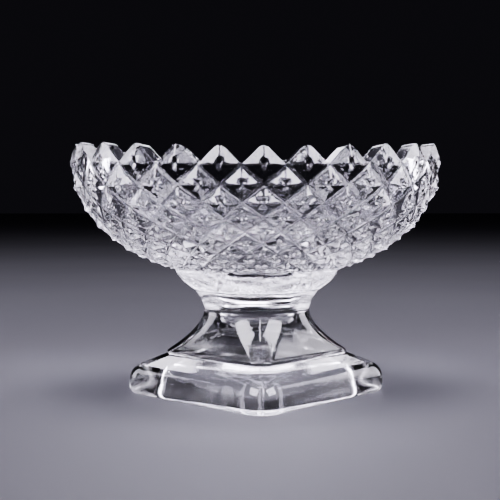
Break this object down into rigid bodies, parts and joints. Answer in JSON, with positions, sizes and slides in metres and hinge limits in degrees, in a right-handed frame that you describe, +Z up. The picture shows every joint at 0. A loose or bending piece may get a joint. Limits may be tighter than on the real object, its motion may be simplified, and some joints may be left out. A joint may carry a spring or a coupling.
{
  "type": "dappen dish",
  "caption": "Small footed dappen dish in clear pressed glass: an oval boat-shaped bowl covered in pyramid diamonds with a sawtooth rim, a waisted stem and a stepped lozenge foot hollowed underneath.",
  "frame": {"origin": "on the table under the middle of the foot", "axes": "+Z up out of the bowl, +X along the bowl's long axis, -Y towards the front corner of the foot"},
  "size_m": [0.08, 0.052, 0.0531],
  "materials": {
    "clear_glass": "gloss"
  },
  "bodies": {
    "root": {"bowl": "clear_glass", "stem": "clear_glass", "foot": "clear_glass"}
  },
  "joints": []
}
